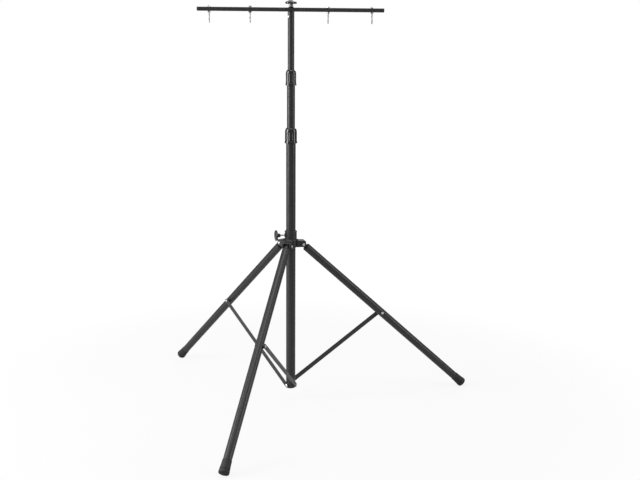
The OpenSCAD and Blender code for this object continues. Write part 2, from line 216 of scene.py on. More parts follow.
def mesh_of(name, shape):
    verts, faces = shape
    mesh = bpy.data.meshes.new(name)
    mesh.from_pydata([[c * 0.001 for c in v] for v in verts], [], [list(f) for f in faces])
    bm = bmesh.new()
    bm.from_mesh(mesh)
    bmesh.ops.remove_doubles(bm, verts=bm.verts, dist=1e-7)
    bmesh.ops.recalc_face_normals(bm, faces=bm.faces)
    bm.to_mesh(mesh)
    bm.free()
    mesh.update()
    return mesh


def temp(name, shape):
    o = bpy.data.objects.new(name, mesh_of(name, shape))
    bpy.context.scene.collection.objects.link(o)
    return o


def baked(o):
    """Applies an object's modifiers to its mesh."""
    bpy.context.view_layer.update()
    dg = bpy.context.evaluated_depsgraph_get()
    mesh = bpy.data.meshes.new_from_object(o.evaluated_get(dg), depsgraph=dg)
    o.modifiers.clear()
    o.data = mesh
    return o


def carve(o, add=(), cut=()):
    """Exact union with add and difference with cut."""
    gone = []
    for shapes, op in ((add, "UNION"), (cut, "DIFFERENCE")):
        for k, s in enumerate(shapes):
            t = temp(f"tmp_{op}_{k}", s)
            m = o.modifiers.new("b", "BOOLEAN")
            m.operation, m.solver, m.object = op, "EXACT", t
            gone.append(t)
    baked(o)
    for t in gone:
        bpy.data.objects.remove(t)
    return o


def molded(o, voxel, soften=4, factor=0.5):
    """Even mesh with softened edges, as a casting or a moulding has."""
    m = o.modifiers.new("r", "REMESH")
    m.mode, m.voxel_size, m.adaptivity = "VOXEL", voxel * 0.001, 0.0
    if soften:
        s = o.modifiers.new("s", "SMOOTH")
        s.factor, s.iterations = factor, soften
    return baked(o)


def coords(o):
    co = np.empty(len(o.data.vertices) * 3)
    o.data.vertices.foreach_get("co", co)
    return co.reshape(-1, 3) * 1000


def set_coords(o, co):
    o.data.vertices.foreach_set("co", (co * 0.001).ravel())
    o.data.update()


def finish_piece(o, name, body, slot, nodes=(), sharp=38, weighted=True):
    o.name = name
    o.data.name = name
    o.data.materials.clear()
    o.data.materials.append(MATERIALS[slot])
    o.data.polygons.foreach_set("use_smooth", [True] * len(o.data.polygons))
    if sharp:
        o.data.set_sharp_from_angle(angle=math.radians(sharp))
    if weighted:
        w = o.modifiers.new("normals", "WEIGHTED_NORMAL")
        w.mode, w.weight, w.keep_sharp = "FACE_AREA", 50, True
    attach(o, body)
    if nodes:
        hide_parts(*nodes)
    return o


def piece(name, shape, body, slot, nodes=(), at=None, sharp=38, weighted=True):
    if at is not None:
        shape = moved(shape, at)
    return finish_piece(temp(name, shape), name, body, slot, nodes, sharp, weighted)


def transform(o, m):
    co = coords(o)
    set_coords(o, co @ m[:3, :3].T + m[:3, 3])
    return o


# ---------------------------------------------------------------------------
# Materials: every one is a node tree on object coordinates, in metres.
# ---------------------------------------------------------------------------


def material(slot, colour, rough, metallic=0.0, coat=0.0, coat_rough=0.1, specular=0.5, patch=0.12,
             patch_scale=22.0, speck=0.06, speck_scale=900.0, rough_var=0.08, peel=None, scratch=0.0,
             wear_and_highlight=None, dust=0.0, tint=None):
    """Principled surface with patchy and speckled colour, uneven roughness, a grain in the bump, fine scratches, worn
    edges that also carry a painted edge highlight, and settled dust, each at its own scale."""
    m = bpy.data.materials.new(slot)
    m.use_nodes = True
    nt = m.node_tree
    N, L = nt.nodes, nt.links
    bsdf = N["Principled BSDF"]
    tc = N.new("ShaderNodeTexCoord").outputs["Object"]

    def noise(scale, detail=3.0, roughness=0.55, stretch=None, distortion=0.0):
        n = N.new("ShaderNodeTexNoise")
        n.inputs["Scale"].default_value = scale
        n.inputs["Detail"].default_value = detail
        n.inputs["Roughness"].default_value = roughness
        n.inputs["Distortion"].default_value = distortion
        src = tc
        if stretch:
            mp = N.new("ShaderNodeMapping")
            mp.inputs["Scale"].default_value = stretch
            mp.inputs["Rotation"].default_value = (0.5, 0.3, 0.9)
            L.new(tc, mp.inputs["Vector"])
            src = mp.outputs["Vector"]
        L.new(src, n.inputs["Vector"])
        return n.outputs["Fac"]

    def remap(v, a, b, c, d):
        r = N.new("ShaderNodeMapRange")
        r.inputs["From Min"].default_value, r.inputs["From Max"].default_value = a, b
        r.inputs["To Min"].default_value, r.inputs["To Max"].default_value = c, d
        L.new(v, r.inputs["Value"])
        return r.outputs["Result"]

    def math_node(op, a, b):
        q = N.new("ShaderNodeMath")
        q.operation = op
        for s, v in ((0, a), (1, b)):
            if isinstance(v, (int, float)):
                q.inputs[s].default_value = v
            else:
                L.new(v, q.inputs[s])
        return q.outputs[0]

    def mix(fac, a, b):
        q = N.new("ShaderNodeMix")
        q.data_type = "RGBA"
        for s, v in ((0, fac), (6, a), (7, b)):
            if isinstance(v, (int, float)):
                q.inputs[s].default_value = v
            elif isinstance(v, (tuple, list)):
                q.inputs[s].default_value = (*v, 1.0)
            else:
                L.new(v, q.inputs[s])
        return q.outputs[2]

    big = noise(patch_scale, 4.0, 0.6)
    fine = noise(speck_scale, 2.0, 0.6)
    lo = tuple(c * (1 - patch) for c in colour)
    hi = tuple(min(1.0, c * (1 + patch)) for c in colour)
    if tint:
        hi = tuple(min(1.0, c * (1 + patch) * t) for c, t in zip(colour, tint))
    col = mix(remap(big, 0.3, 0.7, 0.0, 1.0), lo, hi)
    bright = remap(fine, 0.25, 0.75, 1 - speck, 1 + speck)
    hsv = N.new("ShaderNodeHueSaturation")
    L.new(bright, hsv.inputs["Value"])
    L.new(col, hsv.inputs["Color"])
    col = hsv.outputs["Color"]
    ro = remap(big, 0.25, 0.75, rough - rough_var, rough + rough_var)
    # convex edges found by pointiness are mixed towards another tone: partly worn edges, partly a painted edge
    # highlight where that tone is lighter
    if wear_and_highlight:
        shade, amount, w_rough = wear_and_highlight
        geo = N.new("ShaderNodeNewGeometry").outputs["Pointiness"]
        edge = remap(geo, 0.52, 0.60, 0.0, 1.0)
        broken = remap(noise(140.0, 5.0, 0.7), 0.42, 0.62, 0.0, 1.0)
        edge = math_node("MULTIPLY", math_node("MULTIPLY", edge, broken), amount)
        col = mix(edge, col, shade)
        ro = math_node("ADD", ro, math_node("MULTIPLY", edge, w_rough))
    if dust:
        up = N.new("ShaderNodeSeparateXYZ")
        L.new(N.new("ShaderNodeNewGeometry").outputs["Normal"], up.inputs[0])
        d = math_node("MULTIPLY", remap(up.outputs["Z"], 0.2, 1.0, 0.0, dust), remap(noise(60.0, 5.0, 0.7), 0.35, 0.7, 0.2, 1.0))
        col = mix(d, col, (0.32, 0.31, 0.29))
        ro = math_node("ADD", ro, math_node("MULTIPLY", d, 0.6))
    L.new(col, bsdf.inputs["Base Color"])
    bsdf.inputs["Metallic"].default_value = metallic
    bsdf.inputs["Specular IOR Level"].default_value = specular
    height = None
    if peel:
        for scale, share in peel[0]:
            h = math_node("MULTIPLY", noise(scale, 2.0, 0.5), share)
            height = h if height is None else math_node("ADD", height, h)
    if scratch:
        s = noise(160.0, 3.0, 0.5, stretch=(1.0, 14.0, 14.0))
        s = remap(s, 0.60, 0.66, 0.0, 1.0)
        ro = math_node("ADD", ro, math_node("MULTIPLY", s, scratch))
    L.new(ro, bsdf.inputs["Roughness"])
    if coat:
        bsdf.inputs["Coat Weight"].default_value = coat
        bsdf.inputs["Coat Roughness"].default_value = coat_rough
    if height is not None:
        bump = N.new("ShaderNodeBump")
        bump.inputs["Strength"].default_value = peel[1]
        bump.inputs["Distance"].default_value = peel[2]
        L.new(height, bump.inputs["Height"])
        L.new(bump.outputs["Normal"], bsdf.inputs["Normal"])
    return m


MATERIALS = {
    # satin powder coat: fine orange peel over an uneven sheen
    "powder_black": material("powder_black", (0.024, 0.024, 0.025), 0.36, patch=0.10, speck=0.10, speck_scale=1400,
                             rough_var=0.05, peel=(((750.0, 0.6), (2600.0, 0.4)), 0.55, 0.00006), scratch=0.05,
                             wear_and_highlight=((0.12, 0.12, 0.125), 0.35, 0.1), dust=0.03),
    # glossy moulded grips and knobs
    "gloss_black": material("gloss_black", (0.012, 0.012, 0.013), 0.17, patch=0.15, speck=0.04, rough_var=0.06,
                            peel=(((320.0, 0.7), (1800.0, 0.3)), 0.35, 0.00004), scratch=0.12, coat=0.5,
                            coat_rough=0.10, wear_and_highlight=((0.07, 0.07, 0.072), 0.4, 0.15), dust=0.02),
    # grained moulded plastic and the cast hub's textured paint
    "matte_black": material("matte_black", (0.022, 0.022, 0.023), 0.42, patch=0.18, speck=0.16, speck_scale=1100,
                            rough_var=0.08, peel=(((520.0, 0.6), (1700.0, 0.4)), 0.8, 0.00012), scratch=0.04,
                            wear_and_highlight=((0.10, 0.10, 0.10), 0.5, 0.1), dust=0.04),
    "zinc_steel": material("zinc_steel", (0.68, 0.68, 0.69), 0.40, metallic=1.0, patch=0.08, speck=0.05, patch_scale=90.0,
                           rough_var=0.09, tint=(1.0, 1.0, 1.05), peel=(((1400.0, 0.6), (4200.0, 0.4)), 0.3, 0.00003),
                           scratch=0.18),
    "nylon": material("nylon", (0.72, 0.70, 0.64), 0.45, patch=0.06, speck=0.04, rough_var=0.07,
                      peel=(((600.0, 0.6), (1800.0, 0.4)), 0.4, 0.00005), dust=0.02),
    "rubber_black": material("rubber_black", (0.020, 0.020, 0.020), 0.60, patch=0.25, speck=0.25, speck_scale=700,
                             rough_var=0.10, specular=0.4, peel=(((420.0, 0.5), (1500.0, 0.5)), 0.9, 0.00015),
                             wear_and_highlight=((0.09, 0.088, 0.085), 0.6, 0.1), dust=0.10),
    "grey_plastic": material("grey_plastic", (0.36, 0.36, 0.37), 0.38, patch=0.08, speck=0.06, rough_var=0.06,
                             peel=(((500.0, 0.6), (1600.0, 0.4)), 0.4, 0.00005), dust=0.03),
    "black_oxide": material("black_oxide", (0.28, 0.28, 0.29), 0.32, metallic=0.8, patch=0.15, speck=0.10,
                            rough_var=0.10, peel=(((1300.0, 1.0),), 0.35, 0.00003), scratch=0.1,
                            wear_and_highlight=((0.25, 0.25, 0.26), 0.5, 0.0)),
}

# ---------------------------------------------------------------------------
# Column: tubes, locks, plugs
# ---------------------------------------------------------------------------


def tube_profile(s0, s1, r0, r1, lip=0.45):
    return rounded([(r0, s0, lip * 0.8), (r1, s0, lip), (r1, s1, lip), (r0, s1, lip * 0.8)], 4)


for node, body in (("outer_tube", "column"), ("middle_tube", "middle_stage"), ("top_tube", "top_stage")):
    s0, s1, r0, r1 = along(node)
    piece(node + "_coated", lathe(tube_profile(s0, s1, r0, r1), 128), body, "powder_black", [node])


def smooth01(t):
    t = np.clip(t, 0, 1)
    return t * t * (3 - 2 * t)


def grip_shape(node, flutes=8):
    z0, z1, rin, rmax = along(node)
    R, r_in, h = rmax - 0.4, rin - 0.5, z1 - z0
    r_tube = R - 5.4
    cav, lock_in = r_tube + 2.7, h - 25
    prof = rounded([(r_tube + 0.25, 0, 0.3), (R + 0.4, 0, 0.9), (R + 0.4, 6.6, 0.9), (R - 0.3, 7.5, 0.3), (R - 0.9, 9.3, 0.6), (R - 0.9, 10.4)],
                   4, loop=False)
    prof[0] = (r_tube + 0.25, 0.25)
    prof.insert(1, (r_tube + 0.5, 0.0))
    body = [(R - 0.9, 11 + (h - 17 - 11) * k / 26) for k in range(27)]
    a_dome = R - 2.5 - r_in
    dome = [(r_in + 1.6 + a_dome * math.cos(math.radians(a)), h - 17 + 16 * math.sin(math.radians(a))) for a in np.linspace(4, 88, 22)]
    rim = rounded([dome[-1], (r_in + 1.5, h - 0.15, 0.3), (r_in + 0.5, h - 0.15, 0.35), (r_in + 0.5, h - 6, 0.3), (cav, lock_in + 14, 0.5),
                   (cav, 4, 0.4), (r_tube + 0.25, 4, 0.3), (r_tube + 0.25, 1.2)], 3, loop=False)[1:]
    full = prof + body + dome + rim
    outer = len(prof) + len(body) + len(dome)
    w = math.radians(8.6)

    def flute(th, r, z, k):
        if k < len(prof) - 2 or k >= outer:
            return r, z
        phi = (th * flutes / (2 * math.pi) + 0.5) % 1.0 - 0.5
        phi = np.abs(phi) * 2 * math.pi / flutes
        across = np.cos(np.clip(phi / w, 0, 1) * math.pi / 2) ** 1.1
        rise = smooth01((z - 11) / 5) * (1 - smooth01((z - (h - 20)) / 8))
        return r - 1.45 * across * rise, z

    th0 = math.pi / flutes
    v, f = lathe(full, 192, True, flute)
    v = np.array(v)
    c, s = math.cos(th0), math.sin(th0)
    v = np.column_stack([v[:, 0] * c - v[:, 1] * s, v[:, 0] * s + v[:, 1] * c, v[:, 2] + z0])
    return v.tolist(), f


piece("lower_lock_grip_fluted", grip_shape("lower_lock_grip"), "lower_grip", "gloss_black", ["lower_lock_grip"], sharp=50)
piece("upper_lock_grip_fluted", grip_shape("upper_lock_grip"), "upper_grip", "gloss_black", ["upper_lock_grip"], sharp=50)


def thread_rings(r, depth, pitch, z0, z1, n=36, per=8, fade_lo=1.0, fade_hi=1.0):
    """Rings of a single-start thread; it runs out to the full radius over each fade."""
    rings = []
    count = int(round((z1 - z0) / pitch * per))
    th = np.arange(n) * 2 * math.pi / n
    for k in range(count + 1):
        z = z0 + (z1 - z0) * k / count
        ph = (z / pitch - th / (2 * math.pi)) % 1.0
        crest = np.clip(1.3 * np.abs(2 * ph - 1) - 0.15, 0, 1)
        f = 1.0
        if fade_lo:
            f *= float(smooth01((z - z0) / (fade_lo * pitch)))
        if fade_hi:
            f *= float(smooth01((z1 - z) / (fade_hi * pitch)))
        rr = r - depth * (1 - crest) * f
        rings.append(np.stack([rr * np.cos(th), rr * np.sin(th), np.full(n, z)], 1))
    return rings


def circle(r, z, n):
    th = np.arange(n) * 2 * math.pi / n
    return np.stack([r * np.cos(th), r * np.sin(th), np.full(n, float(z))], 1)


for node, body in (("lower_lock_ferrule", "column"), ("upper_lock_ferrule", "middle_stage")):
    z0, z1, r0, r1 = along(node)
    n = 96
    rings = [circle(r1 - 0.7, z0, n), circle(r1 - 0.45, z0 + 0.3, n), circle(r1 - 0.4, z0 + 1.2, n)]
    mid = thread_rings(r1 - 0.4, -0.4, 4.0, z0 + 1.6, z1 - 1.6, n, 10)
    rings += mid
    rings += [circle(r1 - 0.4, z1 - 1.2, n), circle(r1 - 0.45, z1 - 0.3, n), circle(r1 - 0.7, z1, n),
              circle(r0 + 0.3, z1, n), circle(r0, z1 - 0.3, n), circle(r0, z0 + 0.3, n), circle(r0 + 0.3, z0, n)]
    piece(node + "_threaded", loft(rings, True), body, "matte_black", [node], sharp=50)

for node, body in (("middle_tube_bush", "middle_stage"), ("top_tube_bush", "top_stage")):
    z0, z1, r0, r1 = along(node)
    p = points(node)
    rad = np.hypot(p[:, 0], p[:, 1])
    seat = rad[p[:, 2] > z1 - 0.1].min()
    prof = rounded([(seat, z1, 0.3), (seat, z0 + 3), (r0, z0 + 3, 0.3), (r0, z0, 0.4), (r1 - 1, z0, 0.4), (r1, z0 + 1.2, 0.5),
                    (r1, z0 + 12, 0.3), (r1 - 0.6, z0 + 13, 0.3), (r1 - 0.6, z0 + 15, 0.3), (r1, z0 + 16, 0.3),
                    (r1, z1 - 1.2, 0.5), (r1 - 1, z1, 0.4)], 3)
    piece(node + "_turned", lathe(prof, 96), body, "nylon", [node])

# column base plug with its three brace bosses
z0, z1, _, rb = along("base_plug")
_, _, _, tube_r = along("outer_tube")
_, _, tube_bore, _ = along("outer_tube")
tube_z0 = along("outer_tube")[0]
boss_y = max((points("base_plug") - O) @ LEGS[1]["side"])
bolt_z = LEGS[1]["base"][2]
body_prof = rounded([(0, 0), (tube_r - 1.4, 0, 1.2), (tube_r + 1.2, 3.4, 1.6), (tube_r + 1.2, tube_z0 - 0.6, 0.9), (tube_r + 0.2, tube_z0, 0.2),
                     (tube_bore - 0.02, tube_z0, 0.2), (tube_bore - 0.02, z1 - 2, 0.5), (tube_bore - 1.2, z1, 0.4), (tube_bore - 4, z1, 0.4),
                     (tube_bore - 4, tube_z0 + 4, 0.8), (0, tube_z0 + 4)], 3, loop=False)
base = temp("base", lathe(body_prof, 96, loop=False))
bosses = []
for i in (1, 2, 3):
    L = LEGS[i]
    m = place_z(L["base"], L["side"], Z)
    bosses.append(moved(lathe(rounded([(0, 4), (9.5, 4), (9.5, boss_y, 0.9), (0, boss_y)], 3, loop=False), 64, loop=False), m))
carve(base, add=bosses)
molded(base, 0.6, 3)
co = coords(base)
rad = np.hypot(co[:, 0], co[:, 1])
inside = (co[:, 2] > tube_z0 + 0.8) & (co[:, 2] < z1 - 2.5) & (rad > tube_bore - 1.0)
scale = np.where(inside, (tube_bore - 0.02) / np.maximum(rad, 1e-6), 1.0)
co[:, 0] *= scale
co[:, 1] *= scale
set_coords(base, co)
finish_piece(base, "base_plug_moulded", "column", "matte_black", ["base_plug"], sharp=0, weighted=False)


def head_profile(r, h, z=0.0, dimple=0.0, rim=0.3):
    """Domed head from its flat underside to the middle of its crown."""
    pts = [(r - 0.25, z), (r, z + 0.25), (r, z + h * rim)]
    for k in range(1, 9):
        a = math.radians(90 * k / 9)
        pts.append((r * math.cos(a), z + h * rim + h * (1 - rim) * math.sin(a)))
    if dimple:
        top = z + h
        pts = [p for p in pts if p[0] > dimple * 1.15]
        pts += [(dimple, pts[-1][1] + 0.03), (dimple * 0.8, top - 0.35), (dimple * 0.45, top - 0.55)]
        pts.append((0, top - 0.6))
    else:
        pts.append((0, z + h))
    return pts


def pin_shape(shank_r, s0, s1, heads, n=64):
    """Round pin along z from s0 to s1; heads are (at, direction, radius, height, dimple)."""
    low = [h for h in heads if h[1] < 0]
    high = [h for h in heads if h[1] > 0]
    prof = []
    if low:
        at, _, r, h, d = low[0]
        lp = [(x, at - z) for x, z in head_profile(r, h, 0.0, d)]
        prof += list(reversed(lp)) + [(shank_r, at)]
    else:
        prof += [(0, s0), (shank_r - 0.3, s0), (shank_r, s0 + 0.3)]
    if high:
        at, _, r, h, d = high[0]
        prof += [(shank_r, at)] + [(x, at + z) for x, z in head_profile(r, h, 0.0, d)]
    else:
        prof += [(shank_r, s1 - 0.3), (shank_r - 0.3, s1), (0, s1)]
    return lathe(prof, n, loop=False)


def range_on(node, origin, axis, near=None):
    """A node's range along an axis, using only points within near of that axis."""
    d = points(node) - origin
    s = d @ axis
    r = np.linalg.norm(d - np.outer(s, axis), axis=1)
    keep = r < near if near else r > -1
    return s[keep].min(), s[keep].max(), r[keep].max()


for i in (1, 2, 3):
    L = LEGS[i]
    m = place_z(L["base"], L["side"], Z)
    s0, s1, r1 = range_on("brace_base_bolts", L["base"], L["side"], 7.0)
    piece(f"brace_base_bolt_{i}", pin_shape(3.0, s0, s1, [(s1 - 3.4, 1, r1, 3.4, 1.4)]), "column", "zinc_steel", ["brace_base_bolts"], m)

# top plug, its screw
z0, z1, r0, r1 = along("top_plug")
_, top_end, top_bore, top_r = along("top_tube")
prof = rounded([(r0, z1, 0.4), (r0, z0, 0.4), (top_bore - 1.2, z0, 0.4), (top_bore - 0.02, z0 + 2, 0.6), (top_bore - 0.02, top_end + 0.02),
                (top_r - 0.1, top_end + 0.03), (r1, top_end + 0.8, 0.35), (r1, z1 - 4.2, 0.3), (r1 - 0.5, z1 - 3.9, 0.2), (r1 - 0.5, z1 - 3.3, 0.2),
                (r1, z1 - 3.0, 0.3), (r1, z1 - 1.5, 0.6), (r1 - 1.5, z1, 0.5)], 3)
piece("top_plug_moulded", lathe(prof, 96), "top_stage", "gloss_black", ["top_plug"])

p = points("top_plug_screw")
mid = (p.min(0) + p.max(0)) / 2
screw_z = (p[:, 2].min() + p[:, 2].max()) / 2
ray = unit([mid[0], mid[1], 0])
s0, s1, r1 = range_on("top_plug_screw", np.array([0, 0, screw_z]), ray)


def cross_head(r, h, n=96, rows=18, slot=0.62, reach=2.5):
    """Pan head with a cross recess, and a flat underside at z = 0; rings run from the rim in."""
    th = np.arange(n) * 2 * math.pi / n
    rings = [circle(r - 0.2, 0, n), circle(r, 0.2, n), circle(r, h * 0.42, n)]
    for k in range(1, rows + 1):
        t = k / (rows + 1)
        rr = r * (1 - t)
        z = h * (0.42 + 0.58 * math.sqrt(max(0.0, 1 - (rr / r) ** 2.2)))
        x, y = rr * np.cos(th), rr * np.sin(th)
        arm = np.minimum(np.abs(x), np.abs(y))
        d = (1 - smooth01((arm - slot * 0.75) / (slot * 0.6))) * (1 - smooth01((rr - reach * 0.8) / (reach * 0.3)))
        deep = 1.5 * (1 - 0.35 * rr / reach)
        rings.append(np.stack([x, y, z - deep * d], 1))
    rings.append([[0, 0, h - 1.5]])
    return rings


rings = [[[0, 0, s0]], circle(1.4, s0, 96), circle(1.95, s0 + 0.5, 96), circle(1.95, s1 - 2.6, 96)]
rings += [np.array(q) + [0, 0, s1 - 2.6] for q in cross_head(r1, 2.6)]
piece("top_plug_cross_screw", loft(rings), "top_stage", "zinc_steel", ["top_plug_screw"],
      place_z(np.array([0, 0, screw_z]), ray, Z), sharp=50)

# ---------------------------------------------------------------------------
# Crossbar
# ---------------------------------------------------------------------------
bolt_at = {m["name"][10:]: np.array(m["pos_m"]) * 1000 for m in frame["record"]["mounts"] if m["name"].startswith("lamp_bolt_")}
BX = bolt_at["right_outer"] - bolt_at["left_outer"]
BX = unit([BX[0], BX[1], 0])
bar_top, bar_bottom = points("crossbar_tube")[:, 2].max(), points("crossbar_tube")[:, 2].min()
bar_x, bar_w, bar_z = (points("crossbar_tube") @ BX).max(), bar_top - bar_bottom, (bar_top + bar_bottom) / 2


def square_ring(w, r, x, seg=5, bump=0.0):
    pts = []
    h = w / 2
    for q, (sy, sz) in enumerate(((1, 1), (-1, 1), (-1, -1), (1, -1))):
        for k in range(seg + 1):
            a = math.pi / 2 * (q + k / seg)
            pts.append((x, sy * (h - r) + r * math.cos(a), sz * (h - r) + r * math.sin(a)))
        nxt = ((-1, 1), (-1, -1), (1, -1), (1, 1))[q]
        a = math.pi / 2 * (q + 1)
        y0, z0_ = sy * (h - r) + r * math.cos(a), sz * (h - r) + r * math.sin(a)
        y1, z1_ = nxt[0] * (h - r) + r * math.cos(a), nxt[1] * (h - r) + r * math.sin(a)
        for k in range(1, 4):
            t = k / 4
            pts.append((x, y0 + (y1 - y0) * t, z0_ + (z1_ - z0_) * t))
    return np.array(pts)


wall = 1.5
rings = []
for x in (-bar_x, bar_x):
    s = 1 if x > 0 else -1
    end = [square_ring(bar_w - 0.5, 1.7, x), square_ring(bar_w, 1.9, x - s * 0.25)]
    rings += end if s < 0 else end[::-1]
inner = []
for x in (bar_x, -bar_x):
    s = 1 if x > 0 else -1
    end = [square_ring(bar_w - 2 * wall + 0.3, 0.8, x), square_ring(bar_w - 2 * wall, 0.7, x - s * 0.2)]
    inner += end if s > 0 else end[::-1]
up = place(Z * bar_z, BX, np.cross(Z, BX))
bar = temp("bar", moved(loft(rings + inner, True), up))
names = ("left_outer", "left_inner", "right_inner", "right_outer")
bolt_xs = [float(bolt_at[q] @ BX) for q in names]
holes = [moved(lathe([(0, bar_bottom - 3), (3.3, bar_bottom - 3), (3.3, bar_top + 3), (0, bar_top + 3)], 48, loop=False),
               place(BX * x, BX, np.cross(Z, BX))) for x in bolt_xs]
holes.append(lathe([(0, bar_bottom - 3), (4.06, bar_bottom - 3), (4.06, bar_top + 3), (0, bar_top + 3)], 48, loop=False))
carve(bar, cut=holes)
finish_piece(bar, "crossbar_tube_coated", "crossbar", "powder_black", ["crossbar_tube"], sharp=40)

cap_t = (points("crossbar_end_caps") @ BX).max() - bar_x
for s, side in ((-1, "left"), (1, "right")):
    w, b = bar_w, bar_w - 2 * wall - 0.04
    steps = [(-17.8, b - 3.2, 1.6), (-17.8, b - 2.4, 1.4), (-16.9, b - 1.6, 1.2), (-15.2, b - 1.4, 1.0), (-15.0, b, 0.7), (-13.6, b, 0.7), (-13.2, b - 1.6, 1.0),
             (-10.2, b - 1.4, 1.0), (-10.0, b, 0.7), (-8.6, b, 0.7), (-8.2, b - 1.6, 1.0), (-5.2, b - 1.4, 1.0), (-5.0, b, 0.7), (-3.6, b, 0.7),
             (-3.2, b - 1.6, 1.0), (0.02, b - 1.6, 1.0), (0.02, w - 0.5, 1.6), (0.3, w, 1.9), (cap_t - 1.5, w, 1.9), (cap_t - 0.7, w - 0.7, 2.0),
             (cap_t - 0.25, w - 1.9, 2.3), (cap_t - 0.05, w - 3.6, 2.6), (cap_t, w - 6.5, 2.8)]
    rings = [[[s * (bar_x - 17.8), 0, 0]]] + [square_ring(q, min(r, q / 2 - 0.05), s * (bar_x + d)) for d, q, r in steps] + [[[s * (bar_x + cap_t), 0, 0]]]
    piece(f"crossbar_end_cap_{side}", loft(rings), "crossbar", "matte_black", ["crossbar_end_caps"], up, sharp=42)


def hex_ring(af, z, n=72, rc=None, drop=0.0):
    """Ring on a hexagon; with rc, the corners beyond that radius fall by drop (30 degree chamfer)."""
    th = np.arange(n) * 2 * math.pi / n
    r = af / 2 / np.cos((th + math.pi / 6) % (math.pi / 3) - math.pi / 6)
    zz = np.full(n, float(z))
    if rc is not None:
        zz = z + drop * np.maximum(0, r - rc) * math.tan(math.radians(30))
    return np.stack([r * np.cos(th), r * np.sin(th), zz], 1)


lo_b, hi_b = (np.array(c) * 1000 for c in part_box("lamp_bolts"))
lo_n, hi_n = (np.array(c) * 1000 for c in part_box("lamp_bolt_nuts"))
lo_w, hi_w = (np.array(c) * 1000 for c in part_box("lamp_bolt_washers"))
head_h = 4.0
under = hi_b[2] - head_h
NB = 72
for k, x in enumerate(bolt_xs):
    at = np.eye(4)
    at[:3, 3] = BX * x
    turn = math.radians((14, 33, 51, 8)[k])
    at[:2, :2] = [[math.cos(turn), -math.sin(turn)], [math.sin(turn), math.cos(turn)]]
    rc = 4.75
    shank_top = lo_n[2] - 0.2
    rings = [[[0, 0, hi_b[2] - 0.25]], circle(2.8, hi_b[2] - 0.25, NB), circle(3.6, hi_b[2], NB), circle(rc, hi_b[2], NB),
             hex_ring(10, hi_b[2], NB, rc, -1), hex_ring(10, under + 0.5, NB), circle(4.85, under, NB), circle(2.85, under, NB),
             circle(2.7, under - 0.4, NB), circle(2.7, shank_top, NB)]
    tr = thread_rings(3.0, 0.6, 1.0, lo_b[2] + 1.0, shank_top - 0.4, NB // 2, 8, 0.0, 1.0)[::-1]
    # the shank has twice the points of the thread, so it is resampled here
    def every_other(r):
        r = np.atleast_2d(np.array(r, float))
        return r[::2] if len(r) > 1 else r
    rings = [every_other(r) if j >= 6 else r for j, r in enumerate(rings)]
    head = rings[:6]
    low = rings[6:]
    tip = [circle(2.35, lo_b[2] + 0.25, NB // 2), circle(2.1, lo_b[2], NB // 2), [[0, 0, lo_b[2]]]]
    # head with its fine hexagon, closed underneath, and the threaded shank, as one closed shell each
    head_shell = loft(head + [circle(4.85, under, NB), [[0, 0, under]]])
    shank_shell = loft([[[0, 0, under + 1.0]], circle(2.7, under + 1.0, NB // 2)] + low[1:] + [circle(2.95, shank_top - 0.2, NB // 2)] + tr + tip)
    o = temp("bolt", moved(head_shell, at))
    carve(o, add=[moved(shank_shell, at)])
    finish_piece(o, f"lamp_bolt_{names[k]}_threaded", "crossbar", "zinc_steel", ["lamp_bolts"], sharp=32)

    prof = rounded([(3.16, lo_w[2], 0.15), (6, lo_w[2], 0.35), (6, hi_w[2], 0.35), (3.16, hi_w[2], 0.15)], 3)
    piece(f"lamp_bolt_washer_{names[k]}", lathe(prof, 64), "crossbar", "zinc_steel", ["lamp_bolt_washers"], at)

    nz0, nz1 = lo_n[2], hi_n[2]
    rings = [circle(2.72, nz0 + 0.5, NB), circle(3.2, nz0, NB), circle(4.1, nz0, NB), circle(4.7, nz0 + 1.5, NB), hex_ring(10, nz0 + 1.6, NB, rc, 1),
             hex_ring(10, nz1, NB, rc, -1), circle(rc, nz1, NB), circle(3.2, nz1, NB), circle(2.72, nz1 - 0.5, NB)]
    piece(f"lamp_bolt_nut_{names[k]}", loft(rings, True), "crossbar", "black_oxide", ["lamp_bolt_nuts"], at, sharp=28)

# ---------------------------------------------------------------------------
# Clamp knob on top of the crossbar
# ---------------------------------------------------------------------------


def lobed(profile, lobes, n=168, phase=0.0, power=2.0, loop=False):
    """Lathe whose radius dips at each notch; profile points are (r, z, dip)."""
    dips = [p[2] if len(p) > 2 else 0.0 for p in profile]

    def notch(th, r, z, k):
        w = (0.5 * (1 + np.cos(lobes * th + phase))) ** power
        return r - dips[k] * w, z

    return lathe([(p[0], p[1]) for p in profile], n, loop, notch)


def wheel_profile(r, rim, h, top=None, dip=2.1):
    """Outside of a hand wheel from its underside edge over the rim to the face; z = 0 is its underside."""
    pts = [(r - 3.4, 0.0, dip * 0.9), (r - 1.9, 0.08, dip), (r - 0.8, 0.5, dip), (r - 0.2, 1.3, dip), (r, 2.3, dip),
           (r, rim - 1.6, dip), (r - 0.25, rim - 0.5, dip), (r - 0.95, rim + 0.35, dip), (r - 2.1, rim + 0.95, dip * 0.95), (r - 4.0, rim + 1.35, dip * 0.7)]
    return pts


z0, z1, r0, r1 = along("top_knob_washer")
piece("top_knob_washer_turned", lathe(rounded([(r0, z0, 0.3), (r1, z0, 0.25), (r1 - 0.3, z0 + 0.9, 0.3), (r1 - 1.5, z1, 0.35), (r0, z1, 0.3)], 3), 80),
      "knob_washer", "matte_black", ["top_knob_washer"])

